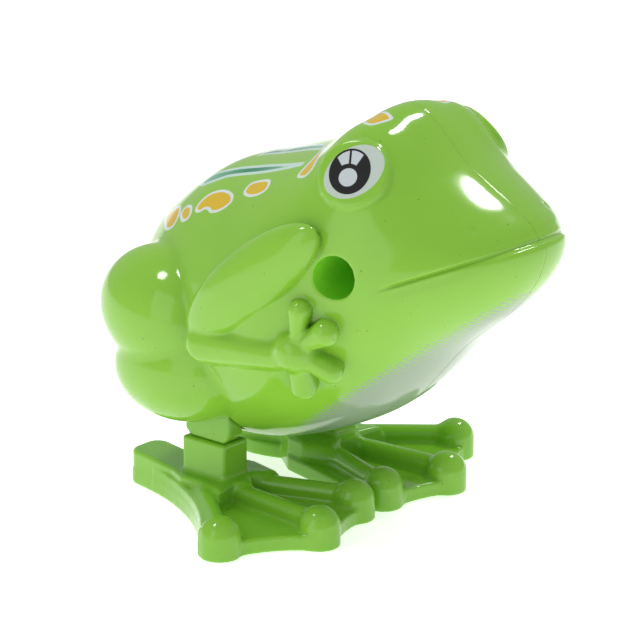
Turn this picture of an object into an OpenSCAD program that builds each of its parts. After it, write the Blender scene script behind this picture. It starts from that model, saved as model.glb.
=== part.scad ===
// Wind-up jumping frog: two moulded half shells over a clockwork motor whose
// crank rocks a pair of legs. +X is forward, +Y the frog's left, Z up.
// The origin is on the ground, under the middle of the body.

/* [Body] */
// Overall length, from the rump to the lips
body_length = 65; // [64:0.5:66]
// Wall of the moulded shells
wall = 1.5; // [1.3:0.1:1.7]
// Facets across each half shell
shell_facets = 30; // [24:2:34]

/* [Feet] */
// Radius of the round toe tips
toe_radius = 2.8; // [2.6:0.1:2.9]
// Thickness of the heel plate
heel_height = 5; // [4.5:0.1:5.2]
// Thickness of the web between the toes
web_height = 2.2; // [1.6:0.1:2.4]
// Distance of each leg plate's middle from the middle plane
leg_spacing = 12.1; // [12:0.05:12.2]
// Thickness of a leg plate
leg_thickness = 3; // [2.6:0.1:3.1]

/* [Motor] */
// Module of the gear teeth
gear_module = 0.6; // [0.58:0.01:0.6]
// Teeth on the great wheel
great_teeth = 30; // [28:1:30]
// Teeth on the intermediate wheel
middle_teeth = 28; // [26:1:28]
// Teeth on both pinions
pinion_teeth = 10; // [9:1:10]
// Throw of the crank pins
crank_throw = 1.9; // [1.5:0.1:1.9]
// Furthest kick of the legs, in degrees
kick_angle = 14; // [8:1:14]
// Diameter of the winding arbor
arbor_diameter = 3; // [2.6:0.1:3.2]
// Turns of the mainspring
spring_turns = 6; // [5:1:7]

/* [Shell fastening] */
// Diameter of the blind hole in the right side
side_hole_diameter = 5.8; // [5:0.1:6]
// Diameter of the screw wells in the left side
screw_well_diameter = 5; // [4.8:0.1:5.2]

/* [Hidden] */
$fn = 48;
eps = 0.01;

green = [0.55, 0.82, 0.24];
steel = [0.72, 0.73, 0.75];
brass = [0.80, 0.65, 0.30];
natural = [0.93, 0.93, 0.88];

// ---- Surface of the body ----
// Cross sections along the body are ellipses. Each row: place along X, top,
// bottom, half width, and the height where the section is widest.
half_length = body_length/2;
sections = [
    [-half_length, 28.5, 28.5, 0, 28.5],
    [-31, 36.8, 20.5, 7.5, 28],
    [-26, 41.8, 13, 13.5, 26.5],
    [-18.5, 46.8, 9, 17.5, 26.5],
    [-9.5, 49.8, 8.8, 20, 29],
    [0.5, 53.6, 12, 21.6, 33],
    [10.5, 59.1, 17.6, 19, 38],
    [20, 52.2, 27.6, 16, 40],
    [27.5, 47.9, 34, 10.6, 42],
    [31.3, 45.4, 38.8, 5.9, 43],
    [half_length, 43.2, 43.2, 0, 43.2]];
last_section = len(sections) - 1;

// The sections are blended against an angle that runs from 0 at the rump to
// 180 at the lips, which makes both ends round.
function end_angle(x) = acos(max(-1, min(1, -x/half_length)));
section_angles = [for (s = sections) end_angle(s.x)];
section_slopes = [for (i = [0:last_section])
    let (a = max(0, i - 1), b = min(last_section, i + 1))
    (sections[b] - sections[a])/(section_angles[b] - section_angles[a])];
angle_index = [for (i = [0:last_section]) [section_angles[i], i]];
function section_at(x) =
    let (angle = end_angle(x),
         i = min(floor(lookup(angle, angle_index) + 1e-9), last_section - 1),
         span = section_angles[i + 1] - section_angles[i],
         t = (angle - section_angles[i])/span)
    (1 + 2*t)*pow(1 - t, 2)*sections[i] + t*pow(1 - t, 2)*span*section_slopes[i]
    + t*t*(3 - 2*t)*sections[i + 1] + t*t*(t - 1)*span*section_slopes[i + 1];

// Below 1 inside the plain body, above 1 outside it
function body_gauge(p) = abs(p.x) >= half_length ? 9 :
    let (s = section_at(p.x), rise = p.z - s[4], height = rise > 0 ? s[1] - s[4] : s[4] - s[2])
    norm([p.y/max(s[3], eps), rise/max(height, eps)]);

// The limbs and eyes stand out from the body as lumps blended into it. A lump
// is an ellipsoid: centre, radii, pitch and yaw; or a rounded bar: two ends
// and two radii. The last number is the width of the blend.
lumps = [
    [[10.3, -7.9, 49.5], [5.8, 4.4, 7.3], 0, 0, 3],            // brow
    [[-19.9, -14, 27.8], [11.3, 8.6, 9], 8, -4, 0.8],        // thigh
    [[-17.1, -14.3, 20.4], [11.5, 7.8, 7.7], -6, 0, 0.8],    // shank
    [[0, -19.4, 37.2], [13.2, 3.6, 5.1], -40, 4.5, 1]];      // upper arm
bars = [
    [[-8.3, -19.8, 27.4], [4.5, -19.3, 28.4], 2.8, 2.1, 1.2], // forearm
    [[6.6, -19.2, 29.2], [7, -19.2, 29], 3, 3, 1],            // palm
    [[7.5, -19.6, 30.6], [8.5, -20.2, 35.3], 1.1, 1.6, 0.6],  // fingers
    [[8.1, -19.4, 30.2], [11.7, -18.8, 32.5], 1.2, 2, 0.6],
    [[8.1, -19, 28.4], [10.9, -16.9, 26.6], 1.3, 1.9, 0.6],
    [[7.1, -19, 27.4], [6.5, -17.2, 23.4], 1.4, 1.9, 0.6]];
eye_centre = [11.7, -13.9, 52.7];
eye_axis = [0.27, -0.78, 0.56]/norm([0.27, -0.78, 0.56]);
eye_radius = 4.9;
eye_edge = 0.7;

function turned(v, pitch, yaw) =
    let (a = [v.x*cos(yaw) + v.y*sin(yaw), v.y*cos(yaw) - v.x*sin(yaw), v.z])
    [a.x*cos(pitch) - a.z*sin(pitch), a.y, a.x*sin(pitch) + a.z*cos(pitch)];
function lump_distance(p, lump) =
    let (q = turned(p - lump[0], lump[2], lump[3]), r = lump[1],
         a = norm([q.x/r.x, q.y/r.y, q.z/r.z]),
         b = norm([q.x/(r.x*r.x), q.y/(r.y*r.y), q.z/(r.z*r.z)]))
    a*(a - 1)/max(b, 1e-9);
function bar_distance(p, bar) =
    let (axis = bar[1] - bar[0], t = max(0, min(1, ((p - bar[0])*axis)/(axis*axis))))
    norm(p - bar[0] - t*axis) - (bar[2] + (bar[3] - bar[2])*t);
function eye_distance(p) =
    let (q = p - eye_centre, height = q*eye_axis, across = norm(q - height*eye_axis),
         a = across - eye_radius + eye_edge, b = height + eye_edge)
    min(max(a, b), 0) + norm([max(a, 0), max(b, 0)]) - eye_edge;
function blend(a, b, width) =
    let (h = max(0, min(1, 0.5 + 0.5*(b - a)/width))) b + (a - b)*h - width*h*(1 - h);
function with_lumps(p, d, i = 0) = i == len(lumps) ? d :
    with_lumps(p, blend(d, lump_distance(p, lumps[i]), lumps[i][4]), i + 1);
function with_bars(p, d, i = 0) = i == len(bars) ? d :
    with_bars(p, blend(d, bar_distance(p, bars[i]), bars[i][4]), i + 1);
function skin(p, d) = blend(with_bars(p, with_lumps(p, d)), eye_distance(p), 0.5);

// The skin is found along rays from one point inside the body.
ray_start = [-1.5, 0, 31];
function body_reach(d, low = 8, high = 45, steps = 13) =
    let (middle = (low + high)/2)
    steps == 0 ? middle :
    body_gauge(ray_start + d*middle) < 1 ? body_reach(d, middle, high, steps - 1)
                                         : body_reach(d, low, middle, steps - 1);
function facing(d, reach) =
    let (p = ray_start + d*reach, h = 0.05,
         slope = [for (e = [[h, 0, 0], [0, h, 0], [0, 0, h]]) body_gauge(p + e) - body_gauge(p - e)])
    max(0.5, min(1, (slope*d)/max(norm(slope), 1e-9)));
function skin_reach(d, reach, face, low, high, steps = 11) =
    let (middle = (low + high)/2)
    steps == 0 ? middle :
    skin(ray_start + d*middle, (middle - reach)*face) < 0
        ? skin_reach(d, reach, face, middle, high, steps - 1)
        : skin_reach(d, reach, face, low, middle, steps - 1);

// Directions of the rays: a square grid wrapped over half a sphere, so that
// its border lies in the middle plane.
function wrapped(u, v) =
    let (r = max(abs(u), abs(v)),
         angle = r == 0 ? 0 : abs(u) >= abs(v) ? 45*v/u + (u < 0 ? 180 : 0) : 90 - 45*u/v + (v < 0 ? 180 : 0),
         side = 1 - r*r, out = sqrt(max(0, 1 - side*side)))
    [out*cos(angle), -side, out*sin(angle)];
rays = [for (i = [0:shell_facets], j = [0:shell_facets])
    wrapped(2*i/shell_facets - 1, 2*j/shell_facets - 1)];
reaches = [for (d = rays) let (r = body_reach(d), f = facing(d, r))
    [skin_reach(d, r, f, r - 1, r + 16), f]];
outer_points = [for (i = [0:len(rays) - 1]) ray_start + rays[i]*reaches[i][0]];
inner_points = [for (i = [0:len(rays) - 1]) ray_start + rays[i]*(reaches[i][0] - wall/reaches[i][1])];

function at(i, j) = i*(shell_facets + 1) + j;
grid_faces = [for (i = [0:shell_facets - 1], j = [0:shell_facets - 1], k = [0, 1])
    k == 0 ? [at(i, j), at(i, j + 1), at(i + 1, j + 1)] : [at(i, j), at(i + 1, j + 1), at(i + 1, j)]];
border = concat(
    [for (i = [0:shell_facets - 1]) at(i, 0)], [for (j = [0:shell_facets - 1]) at(shell_facets, j)],
    [for (i = [shell_facets:-1:1]) at(i, shell_facets)], [for (j = [shell_facets:-1:1]) at(0, j)]);

// A half body from a grid of points, closed by a flat face. The face is in
// the middle plane, or past it when "past" is above 0.
module half_body(points, past = 0) {
    n = len(border);
    carried = [for (p = points) p.y > -eps ? [p.x, past, p.z] : p];
    cap = [for (k = [0:n - 1]) [border[k], border[(k + 1) % n], len(points)]];
    polyhedron(concat(carried, [[ray_start.x, past, ray_start.z]]), concat(cap, grid_faces), convexity = 6);
}

// ---- Places of the mechanism, [x, z] in the side view ----
arbor_at = [12.3, 39.7];
train_angle = 210.84;
train_step = [cos(train_angle), sin(train_angle)];
second_at = arbor_at + train_step*gear_module*(great_teeth + pinion_teeth)/2;
crank_at = second_at + train_step*gear_module*(middle_teeth + pinion_teeth)/2;
pivot_at = [-22.5, 25];
pillars_at = [[4.4, 48.1], [12.6, 28.3], [-14.5, 27]];
spring_pillar = 1;
screws_at = [[-13, 43.5], [7.5, 19.5]];
pegs_at = [[26.5, 41], [-26.5, 33]];
pads_at = [pillars_at[0], pillars_at[1]];

// Along Y, measured from the middle plane
plate_inner = 7.8;
plate_outer = 9;
disc_inner = 9.25;
disc_outer = 10.2;
leg_inner = leg_spacing - leg_thickness/2;
leg_outer = leg_spacing + leg_thickness/2;
boss_gap = 0.05;
screw_seat = 4.5;
knob_inner = 23.2;
paddle_inner = 24;
knob_outer = 28;

// Small round parts
pin_diameter = 2;
second_diameter = 2;
running_gap = 0.06;
press_gap = 0.02;
crank_pin_radius = 0.9;
window_radius = crank_throw + crank_pin_radius + 0.3;
pillar_radius = 1.5;
tenon_radius = 0.8;
screw_diameter = 2.2;
screw_boss = 5.6;
peg_diameter = 2.4;
peg_boss = 4.4;

// A round bar along Y from y1 to y2, at a place in the side view
module bar_y(at, d, y1, y2) {
    translate([at[0], y1, at[1]]) rotate([-90, 0, 0]) cylinder(d = d, h = y2 - y1);
}
// A flat shape drawn in the side view, as thick as from y1 to y2
module plate_y(y1, y2) {
    translate([0, y2, 0]) rotate([90, 0, 0]) linear_extrude(height = y2 - y1) children();
}
module spot(at, d) { translate(at) circle(d = d); }
module left_side() { mirror([0, 1, 0]) children(); }

// ---- Shells ----
// The leg swings through a slot in the underside.
module leg_slot() {
    translate([-22.8, -leg_outer - 0.4, 6]) cube([13.1, leg_thickness + 0.8, 12.4]);
}
module right_bosses() {
    bar_y(arbor_at, side_hole_diameter + 2.6, -40, -plate_outer - boss_gap);
    for (at = pads_at) bar_y(at, 4, -40, -plate_outer - boss_gap);
    for (at = screws_at) bar_y(at, screw_boss, -40, 0);
    for (at = pegs_at) bar_y(at, peg_boss, -40, 0);
}
module left_bosses() {
    bar_y(arbor_at, side_hole_diameter + 2.6, plate_outer + boss_gap, 40);
    bar_y(second_at, second_diameter + 4, plate_outer + boss_gap, 40);
    for (at = pads_at) bar_y(at, 4, plate_outer + boss_gap, 40);
    for (at = screws_at) bar_y(at, screw_well_diameter + 2.4, 0, 40);
    for (at = pegs_at) bar_y(at, peg_boss, 0, 40);
}
module shell_right() color(green) {
    difference() {
        half_body(outer_points);
        difference() {
            half_body(inner_points, 1);
            right_bosses();
        }
        bar_y(arbor_at, side_hole_diameter, -40, -11.2);
        bar_y(arbor_at, arbor_diameter + 1, -10, 0);
        for (at = screws_at) bar_y(at, screw_diameter + press_gap, -9.5, 1);
        leg_slot();
    }
    for (at = pegs_at) bar_y(at, peg_diameter, -3, 3);
}
module shell_left() color(green) difference() {
    left_side() half_body(outer_points);
    difference() {
        left_side() half_body(inner_points, 1);
        left_bosses();
    }
    bar_y(arbor_at, side_hole_diameter, 11.2, 40);
    bar_y(arbor_at, arbor_diameter + 1, 0, 10);
    bar_y(second_at, second_diameter + 1, 0, 40);
    for (at = screws_at) {
        bar_y(at, screw_well_diameter, screw_seat, 40);
        bar_y(at, screw_diameter + 0.4, -1, screw_seat + 1);
    }
    for (at = pegs_at) bar_y(at, peg_diameter + press_gap, -1, 3.4);
    left_side() leg_slot();
}
module shell_screws() color(steel) for (at = screws_at) difference() {
    union() {
        bar_y(at, screw_diameter, -9, screw_seat + 0.1);
        bar_y(at, 4.4, screw_seat + 0.02, screw_seat + 1.8);
    }
    for (turn = [45, -45])
        translate([at[0], screw_seat + 1, at[1]]) rotate([0, turn, 0])
            translate([-1.4, 0, -0.3]) cube([2.8, 1, 0.6]);
}

// ---- Motor frame ----
module plate_outline() {
    difference() {
        hull() {
            spot(arbor_at, 10.4);
            spot(crank_at, 10);
            spot(pivot_at, 8);
            spot(pillars_at[0], 5);
            spot(pillars_at[1], 5);
        }
        spot([2, 41.5], 7);
        spot([6, 28.5], 4);
        spot([-15, 33.5], 4);
    }
}
module motor_plate(y1, y2) color(natural) difference() {
    plate_y(y1, y2) plate_outline();
    bar_y(arbor_at, arbor_diameter + running_gap, y1 - 1, y2 + 1);
    bar_y(second_at, second_diameter + running_gap, y1 - 1, y2 + 1);
    bar_y(crank_at, pin_diameter + running_gap, y1 - 1, y2 + 1);
    bar_y(pivot_at, pin_diameter + press_gap, y1 - 1, y2 + 1);
    for (at = pillars_at) bar_y(at, 2*tenon_radius + press_gap, y1 - 1, y2 + 1);
}
module motor_plate_right() motor_plate(-plate_outer, -plate_inner);
module motor_plate_left() motor_plate(plate_inner, plate_outer);
module motor_pillars() color(natural) for (at = pillars_at) {
    bar_y(at, 2*pillar_radius, -plate_inner, plate_inner);
    bar_y(at, 2*tenon_radius, -plate_outer, plate_outer);
}

// ---- Winding ----
module winding_arbor() color(steel) bar_y(arbor_at, arbor_diameter, -plate_outer - 0.4, plate_outer + 0.4);
// The knob winds the spring through the second arbor's pinion, so it turns easily.
knob_reach = 4;
knob_turned = 50;
knob_shaft_end = 26.6;
module winding_knob() color(natural) difference() {
    union() {
        bar_y(second_at, 6.6, knob_inner, paddle_inner + 1);
        translate([second_at[0], 0, second_at[1]]) rotate([0, knob_turned, 0]) {
            translate([-knob_reach, paddle_inner, -1.3]) cube([2*knob_reach, knob_outer - paddle_inner, 2.6]);
            for (side = [-1, 1])
                translate([knob_reach*side, (paddle_inner + knob_outer)/2, -1.3])
                    cylinder(d = knob_outer - paddle_inner, h = 2.6);
        }
    }
    bar_y(second_at, second_diameter + press_gap, 0, knob_shaft_end);
}

// A gear blank with straight-flanked teeth, drawn in the side view
module gear_outline(teeth, turn = 0) {
    pitch = gear_module*teeth/2;
    tip = pitch + 0.85*gear_module;
    root = pitch - 1.2*gear_module;
    tooth = 360/teeth;
    rotate(turn) polygon([for (k = [0:teeth - 1], c = [[root, -0.31], [tip, -0.11], [tip, 0.11], [root, 0.31]])
        c[0]*[cos((k + c[1])*tooth), sin((k + c[1])*tooth)]]);
}
// Turns, in degrees, that set each gear's teeth into the next one's gaps
tooth_shift = 180/pinion_teeth;
great_turn = train_angle;
second_pinion_turn = train_angle + 180 + tooth_shift;
middle_turn = train_angle;
crank_pinion_turn = train_angle + 180 + tooth_shift;

module great_wheel() color(brass) difference() {
    union() {
        plate_y(5.4, 7.2) translate(arbor_at) gear_outline(great_teeth, great_turn);
        bar_y(arbor_at, 6, 5.2, 7.6);
        for (k = [0:11])
            translate([arbor_at[0], 4.95, arbor_at[1]]) rotate([0, 30*k, 0])
                translate([4, 0, -0.3]) cube([2.6, 0.5, 0.6]);
    }
    bar_y(arbor_at, arbor_diameter + press_gap, 0, 9);
    for (k = [0:4])
        bar_y(arbor_at + 5.3*[cos(72*k + 6), sin(72*k + 6)], 2, 5.3, 7.3);
}
module click_spring() color(steel) difference() {
    plate_y(4.5, 4.8) translate(arbor_at) {
        circle(r = 3.2);
        for (k = [0:2]) rotate(120*k) translate([0, -0.8]) square([6, 1.6]);
    }
    bar_y(arbor_at, arbor_diameter + press_gap, 4, 6);
}
// A flat steel strip wound round the arbor, its outer end looped on a pillar
spring_thickness = 0.3;
spring_start = 1.75;
spring_end = 7.4;
loop_angle = atan2((pillars_at[spring_pillar] - arbor_at)[1], (pillars_at[spring_pillar] - arbor_at)[0]);
function spring_point(t, side) =
    let (angle = loop_angle - 52 + 360*spring_turns*(t - 1), r = spring_start + (spring_end - spring_start)*t + side)
    r*[cos(angle), sin(angle)];
module mainspring() color(steel) plate_y(-3.8, 4.2) {
    steps = 30*spring_turns;
    translate(arbor_at) {
        polygon(concat(
            [for (k = [0:steps]) spring_point(k/steps, -spring_thickness/2)],
            [for (k = [steps:-1:0]) spring_point(k/steps, spring_thickness/2)]));
        tail = spring_point(1 - 0.05/spring_turns, 0);
        loop = pillars_at[spring_pillar] - arbor_at;
        way = (loop - tail)/norm(loop - tail);
        across = [-way[1], way[0]]*spring_thickness/2;
        reach = loop - way*(pillar_radius + 0.15);
        polygon([tail + across, tail - across, reach - across, reach + across]);
    }
    difference() {
        spot(pillars_at[spring_pillar], 2*pillar_radius + 0.7);
        spot(pillars_at[spring_pillar], 2*pillar_radius + 0.1);
    }
}

// ---- Gear train ----
module second_arbor() color(steel) bar_y(second_at, second_diameter, -plate_outer - 0.2, knob_shaft_end - 0.05);
module intermediate_gear() color(natural) difference() {
    union() {
        plate_y(-6.8, -5.2) translate(second_at) gear_outline(middle_teeth, middle_turn);
        bar_y(second_at, 4, -7.4, 5.2);
        plate_y(5.1, 7.5) translate(second_at) gear_outline(pinion_teeth, second_pinion_turn);
    }
    bar_y(second_at, second_diameter + press_gap, -9, 9);
    for (k = [0:3])
        bar_y(second_at + 5*[cos(90*k + 30), sin(90*k + 30)], 2.6, -6.9, -5.1);
}
module crank_shaft() color(steel) bar_y(crank_at, pin_diameter, -disc_outer, disc_outer);
module crank_pinion() color(natural) difference() {
    union() {
        plate_y(-7.3, -4.7) translate(crank_at) gear_outline(pinion_teeth, crank_pinion_turn);
        bar_y(crank_at, 4, -4.8, 7.4);
    }
    bar_y(crank_at, pin_diameter + press_gap, -9, 9);
}
// The crank pins stand at the top of their turn.
module crank_left() color(natural) difference() {
    union() {
        bar_y(crank_at, 6.4, disc_inner, disc_outer);
        bar_y(crank_at + [0, crank_throw], 2*crank_pin_radius, disc_outer - 0.1, leg_outer + 0.3);
    }
    bar_y(crank_at, pin_diameter + press_gap, 0, disc_outer + 0.01);
}
module crank_right() left_side() crank_left();

// ---- Legs ----
module leg_pivot_pin() color(steel) bar_y(pivot_at, pin_diameter, -leg_outer - 1, leg_outer + 1);
module pivot_spacers() color(steel) for (side = [-1, 1]) scale([1, side, 1]) difference() {
    bar_y(pivot_at, 4, plate_outer + 0.02, leg_inner - 0.1);
    bar_y(pivot_at, pin_diameter + press_gap, 0, 20);
}
module pivot_clips() color(steel) for (side = [-1, 1]) scale([1, side, 1]) difference() {
    bar_y(pivot_at, 4.2, leg_outer + 0.1, leg_outer + 0.8);
    bar_y(pivot_at, pin_diameter + press_gap, 0, 20);
}
post_rear = -18.2;
post_front = -10.3;
post_bottom = 10.15;
post_chamfer = 0.9;
tongue = [6, 2.4, 4.1];
tongue_rear = -17.3;
// Where the crank's centre lies, seen from the fully kicked leg
kicked = let (v = crank_at - pivot_at)
    pivot_at + [v[0]*cos(kick_angle) - v[1]*sin(kick_angle), v[1]*cos(kick_angle) + v[0]*sin(kick_angle)];
module leg_left() color(green) difference() {
    union() {
        plate_y(leg_inner, leg_outer) {
            hull() {
                spot(pivot_at, 7.2);
                spot(crank_at, 2*window_radius + 3.4);
                spot(kicked, 2*window_radius + 3.4);
            }
            polygon([[post_rear, 26], [post_rear, post_bottom + post_chamfer],
                     [post_rear + post_chamfer, post_bottom], [post_front - post_chamfer, post_bottom],
                     [post_front, post_bottom + post_chamfer], [post_front, 26]]);
        }
        translate([tongue_rear, leg_spacing - tongue.y/2, post_bottom - tongue.z + 0.1]) cube(tongue);
    }
    bar_y(pivot_at, pin_diameter + running_gap, 0, 20);
    plate_y(leg_inner - 1, leg_outer + 1) hull() {
        spot(crank_at, 2*window_radius);
        spot(kicked, 2*window_radius);
    }
}
module leg_right() left_side() leg_left();

// ---- Feet, drawn for the left side ----
toes = [[-1.5, 25.2], [6.1, 13.7], [3.3, 3.1]];
ridge_starts = [[-15, 14.2], [-11.5, 12.2], [-13.5, 9.2]];
ridge_radius = 1.4;
ridge_top = 4.6;
skirt_height = 3.8;
block = [[-18.3, 9.2], [-10.6, 14.2]];
block_top = 10.1;
socket_gap = 0.05;

// Points on an arc from a to b that swings out to the right by "depth"
function arc(a, b, depth, n = 12) =
    let (chord = norm(b - a), r = chord*chord/(8*abs(depth)) + abs(depth)/2,
         half = asin(chord/2/r), along = (b - a)/chord, right = sign(depth)*[along[1], -along[0]])
    [for (k = [0:n]) let (t = half*(2*k/n - 1))
        (a + b)/2 + along*r*sin(t) + right*(r*cos(t) - r*cos(half))];
module heel_outline() {
    hull() {
        spot([-27.9, 8.9], 4);
        spot([-27.9, 11], 4);
        translate([-20, 8.6]) square([1, 6]);
    }
}
// Everything that the webs and the skirt cover
module foot_outline() {
    polygon(concat(
        arc([-28.5, 12.9], [-3.4, 27.2], 2.8),
        arc([1, 23.8], [7.2, 16.2], 0.8, 6),
        arc([7.2, 11], [5.6, 1.8], 0.7, 6),
        [[2.6, 0.4], [-15.5, 4.8]],
        arc([-19.3, 7.8], [-27, 6.95], -0.6, 5)));
    heel_outline();
}
module raised_outline() {
    heel_outline();
    polygon(concat([[-20, 14.6]], arc([-17, 16], [-8.5, 17.4], 0.4, 4),
        [[-9.5, 13.5], [-7.6, 11.8], [-9.5, 9.6], [-8, 6], [-13, 4.9], [-16, 5.4], [-20, 8.5]]));
}
module ridge(a, b) {
    along = b - a;
    translate([a[0], a[1], ridge_top - ridge_radius])
        rotate([0, 90, atan2(along[1], along[0])]) cylinder(r = ridge_radius, h = norm(along));
    translate([a[0], a[1], 0]) rotate([0, 0, atan2(along[1], along[0])])
        translate([0, -ridge_radius, 0]) cube([norm(along), 2*ridge_radius, ridge_top - ridge_radius]);
}
module foot_left() color(green) difference() {
    union() {
        linear_extrude(height = web_height) foot_outline();
        linear_extrude(height = heel_height) raised_outline();
        linear_extrude(height = skirt_height) intersection() {
            foot_outline();
            polygon([[-24, 12], ridge_starts[0], toes[0], [-3, 30], [-24, 18]]);
        }
        for (k = [0:2]) {
            ridge(ridge_starts[k], toes[k]);
            translate([toes[k].x, toes[k].y, 0]) {
                cylinder(r = toe_radius, h = toe_radius);
                translate([0, 0, toe_radius]) sphere(r = toe_radius);
            }
        }
        translate([block[0].x, block[0].y, 0])
            cube([block[1].x - block[0].x, block[1].y - block[0].y, block_top]);
    }
    translate([tongue_rear - socket_gap, leg_spacing - tongue.y/2 - socket_gap, post_bottom - tongue.z - 0.1])
        cube(tongue + [2*socket_gap, 2*socket_gap, 1]);
}
module foot_right() left_side() foot_left();

shell_right();
shell_left();
shell_screws();
motor_plate_right();
motor_plate_left();
motor_pillars();
winding_arbor();
winding_knob();
great_wheel();
click_spring();
mainspring();
second_arbor();
intermediate_gear();
crank_shaft();
crank_pinion();
crank_right();
crank_left();
leg_pivot_pin();
pivot_spacers();
pivot_clips();
leg_right();
leg_left();
foot_right();
foot_left();
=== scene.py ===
"""Looks of the wind-up jumping frog: glossy moulded plastic shells with printed markings, soft-edged
feet, legs and winding knob, and a soft white studio. Shapes and prints are in millimetres."""

import bpy
import numpy as np
from mathutils import Matrix, Vector


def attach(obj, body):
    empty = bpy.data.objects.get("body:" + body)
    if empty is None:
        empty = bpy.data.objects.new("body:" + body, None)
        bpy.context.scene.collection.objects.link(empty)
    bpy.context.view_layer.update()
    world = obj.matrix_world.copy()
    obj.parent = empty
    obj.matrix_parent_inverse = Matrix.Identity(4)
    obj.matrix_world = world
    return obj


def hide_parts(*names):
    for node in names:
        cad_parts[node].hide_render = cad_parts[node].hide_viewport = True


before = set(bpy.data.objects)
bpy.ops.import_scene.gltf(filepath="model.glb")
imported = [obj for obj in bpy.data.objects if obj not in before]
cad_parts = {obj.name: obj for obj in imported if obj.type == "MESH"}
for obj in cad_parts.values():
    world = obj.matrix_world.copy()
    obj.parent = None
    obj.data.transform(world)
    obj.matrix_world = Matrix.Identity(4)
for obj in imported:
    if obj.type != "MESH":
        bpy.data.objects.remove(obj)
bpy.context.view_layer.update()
MM = 0.001


# ---- Skin of the body, on the right side; the left side mirrors it ----
HALF_LENGTH = 32.5
SECTIONS = np.array([  # x, top, bottom, half width, height of the widest place
    [-32.5, 28.5, 28.5, 0, 28.5], [-31, 36.8, 20.5, 7.5, 28], [-26, 41.8, 13, 13.5, 26.5],
    [-18.5, 46.8, 9, 17.5, 26.5], [-9.5, 49.8, 8.8, 20, 29], [0.5, 53.6, 12, 21.6, 33],
    [10.5, 59.1, 17.6, 19, 38], [20, 52.2, 27.6, 16, 40], [27.5, 47.9, 34, 10.6, 42],
    [31.3, 45.4, 38.8, 5.9, 43], [32.5, 43.2, 43.2, 0, 43.2]])
LUMPS = [  # centre, radii, pitch, yaw, blend
    ((10.3, -7.9, 49.5), (5.8, 4.4, 7.3), 0, 0, 3),
    ((-19.9, -14, 27.8), (11.3, 8.6, 9), 8, -4, 0.8),
    ((-17.1, -14.3, 20.4), (11.5, 7.8, 7.7), -6, 0, 0.8),
    ((0, -20.2, 37.3), (13.4, 3.3, 4.6), -40, 4.5, 0.35)]
BARS = [  # two ends, two radii, blend
    ((-8.1, -20.2, 27.2), (4.5, -19.9, 27.9), 2.9, 2.0, 0.7),
    ((6.5, -19.4, 29), (6.9, -19.4, 28.8), 2.8, 2.8, 0.6),
    ((7.5, -19.9, 30.6), (8.4, -20.5, 35), 1.0, 1.6, 0.5),
    ((8.1, -19.7, 30.2), (11.5, -19.1, 32.3), 1.1, 1.9, 0.5),
    ((8.1, -19.3, 28.4), (11.0, -17.2, 26.5), 1.4, 1.7, 0.5),
    ((7.1, -19.3, 27.4), (6.6, -17.5, 23.4), 1.4, 1.8, 0.5)]
EYE = np.array([11.7, -13.9, 52.7])
EYE_AXIS = np.array([0.27, -0.78, 0.56]) / np.linalg.norm([0.27, -0.78, 0.56])
EYE_RADIUS, EYE_EDGE = 4.9, 0.7
START = np.array([-1.5, 0, 31.0])
WALL = 1.5
SKIN_INSET = 0.07  # the CAD shell's flat facets lie this far inside the true curve
ANGLES = np.degrees(np.arccos(-SECTIONS[:, 0] / HALF_LENGTH))
_rows = np.arange(len(SECTIONS))
_before, _after = np.maximum(0, _rows - 1), np.minimum(len(SECTIONS) - 1, _rows + 1)
SLOPES = (SECTIONS[_after] - SECTIONS[_before]) / (ANGLES[_after] - ANGLES[_before])[:, None]
AXES = np.eye(3)


def smooth(a, b, x):
    t = np.clip((x - a) / (b - a), 0, 1)
    return t * t * (3 - 2 * t)


def bump(x, width):
    return np.exp(-(x / width) ** 2)


def length(v):
    return np.sqrt((v * v).sum(-1))


def blend(a, b, width):
    h = np.clip(0.5 + 0.5 * (b - a) / width, 0, 1)
    return b + (a - b) * h - width * h * (1 - h)


def section_at(x):
    angle = np.degrees(np.arccos(np.clip(-x / HALF_LENGTH, -1, 1)))
    i = np.clip(np.searchsorted(ANGLES, angle, side="right") - 1, 0, len(ANGLES) - 2)
    span = (ANGLES[i + 1] - ANGLES[i])[:, None]
    t = (angle - ANGLES[i])[:, None] / span
    return ((1 + 2 * t) * (1 - t) ** 2 * SECTIONS[i] + t * (1 - t) ** 2 * span * SLOPES[i]
            + t * t * (3 - 2 * t) * SECTIONS[i + 1] + t * t * (t - 1) * span * SLOPES[i + 1])


def gauge(p):
    s = section_at(np.clip(p[:, 0], -HALF_LENGTH + 1e-6, HALF_LENGTH - 1e-6))
    rise = p[:, 2] - s[:, 4]
    height = np.where(rise > 0, s[:, 1] - s[:, 4], s[:, 4] - s[:, 2])
    inside = np.hypot(p[:, 1] / np.maximum(s[:, 3], 0.01), rise / np.maximum(height, 0.01))
    return np.where(np.abs(p[:, 0]) >= HALF_LENGTH, 9, inside)


def lump(p, centre, radii, pitch, yaw):
    a, b = np.radians([pitch, yaw])
    v, r = p - np.array(centre, float), np.array(radii, float)
    x = v[:, 0] * np.cos(b) + v[:, 1] * np.sin(b)
    y = v[:, 1] * np.cos(b) - v[:, 0] * np.sin(b)
    q = np.stack([x * np.cos(a) - v[:, 2] * np.sin(a), y, x * np.sin(a) + v[:, 2] * np.cos(a)], 1)
    k = length(q / r)
    return k * (k - 1) / np.maximum(length(q / r ** 2), 1e-9)


def bar(p, a, b, ra, rb):
    a, d = np.array(a, float), np.array(b, float) - np.array(a, float)
    t = np.clip((p - a) @ d / (d @ d), 0, 1)
    return length(p - a - t[:, None] * d) - (ra + (rb - ra) * t)


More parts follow.
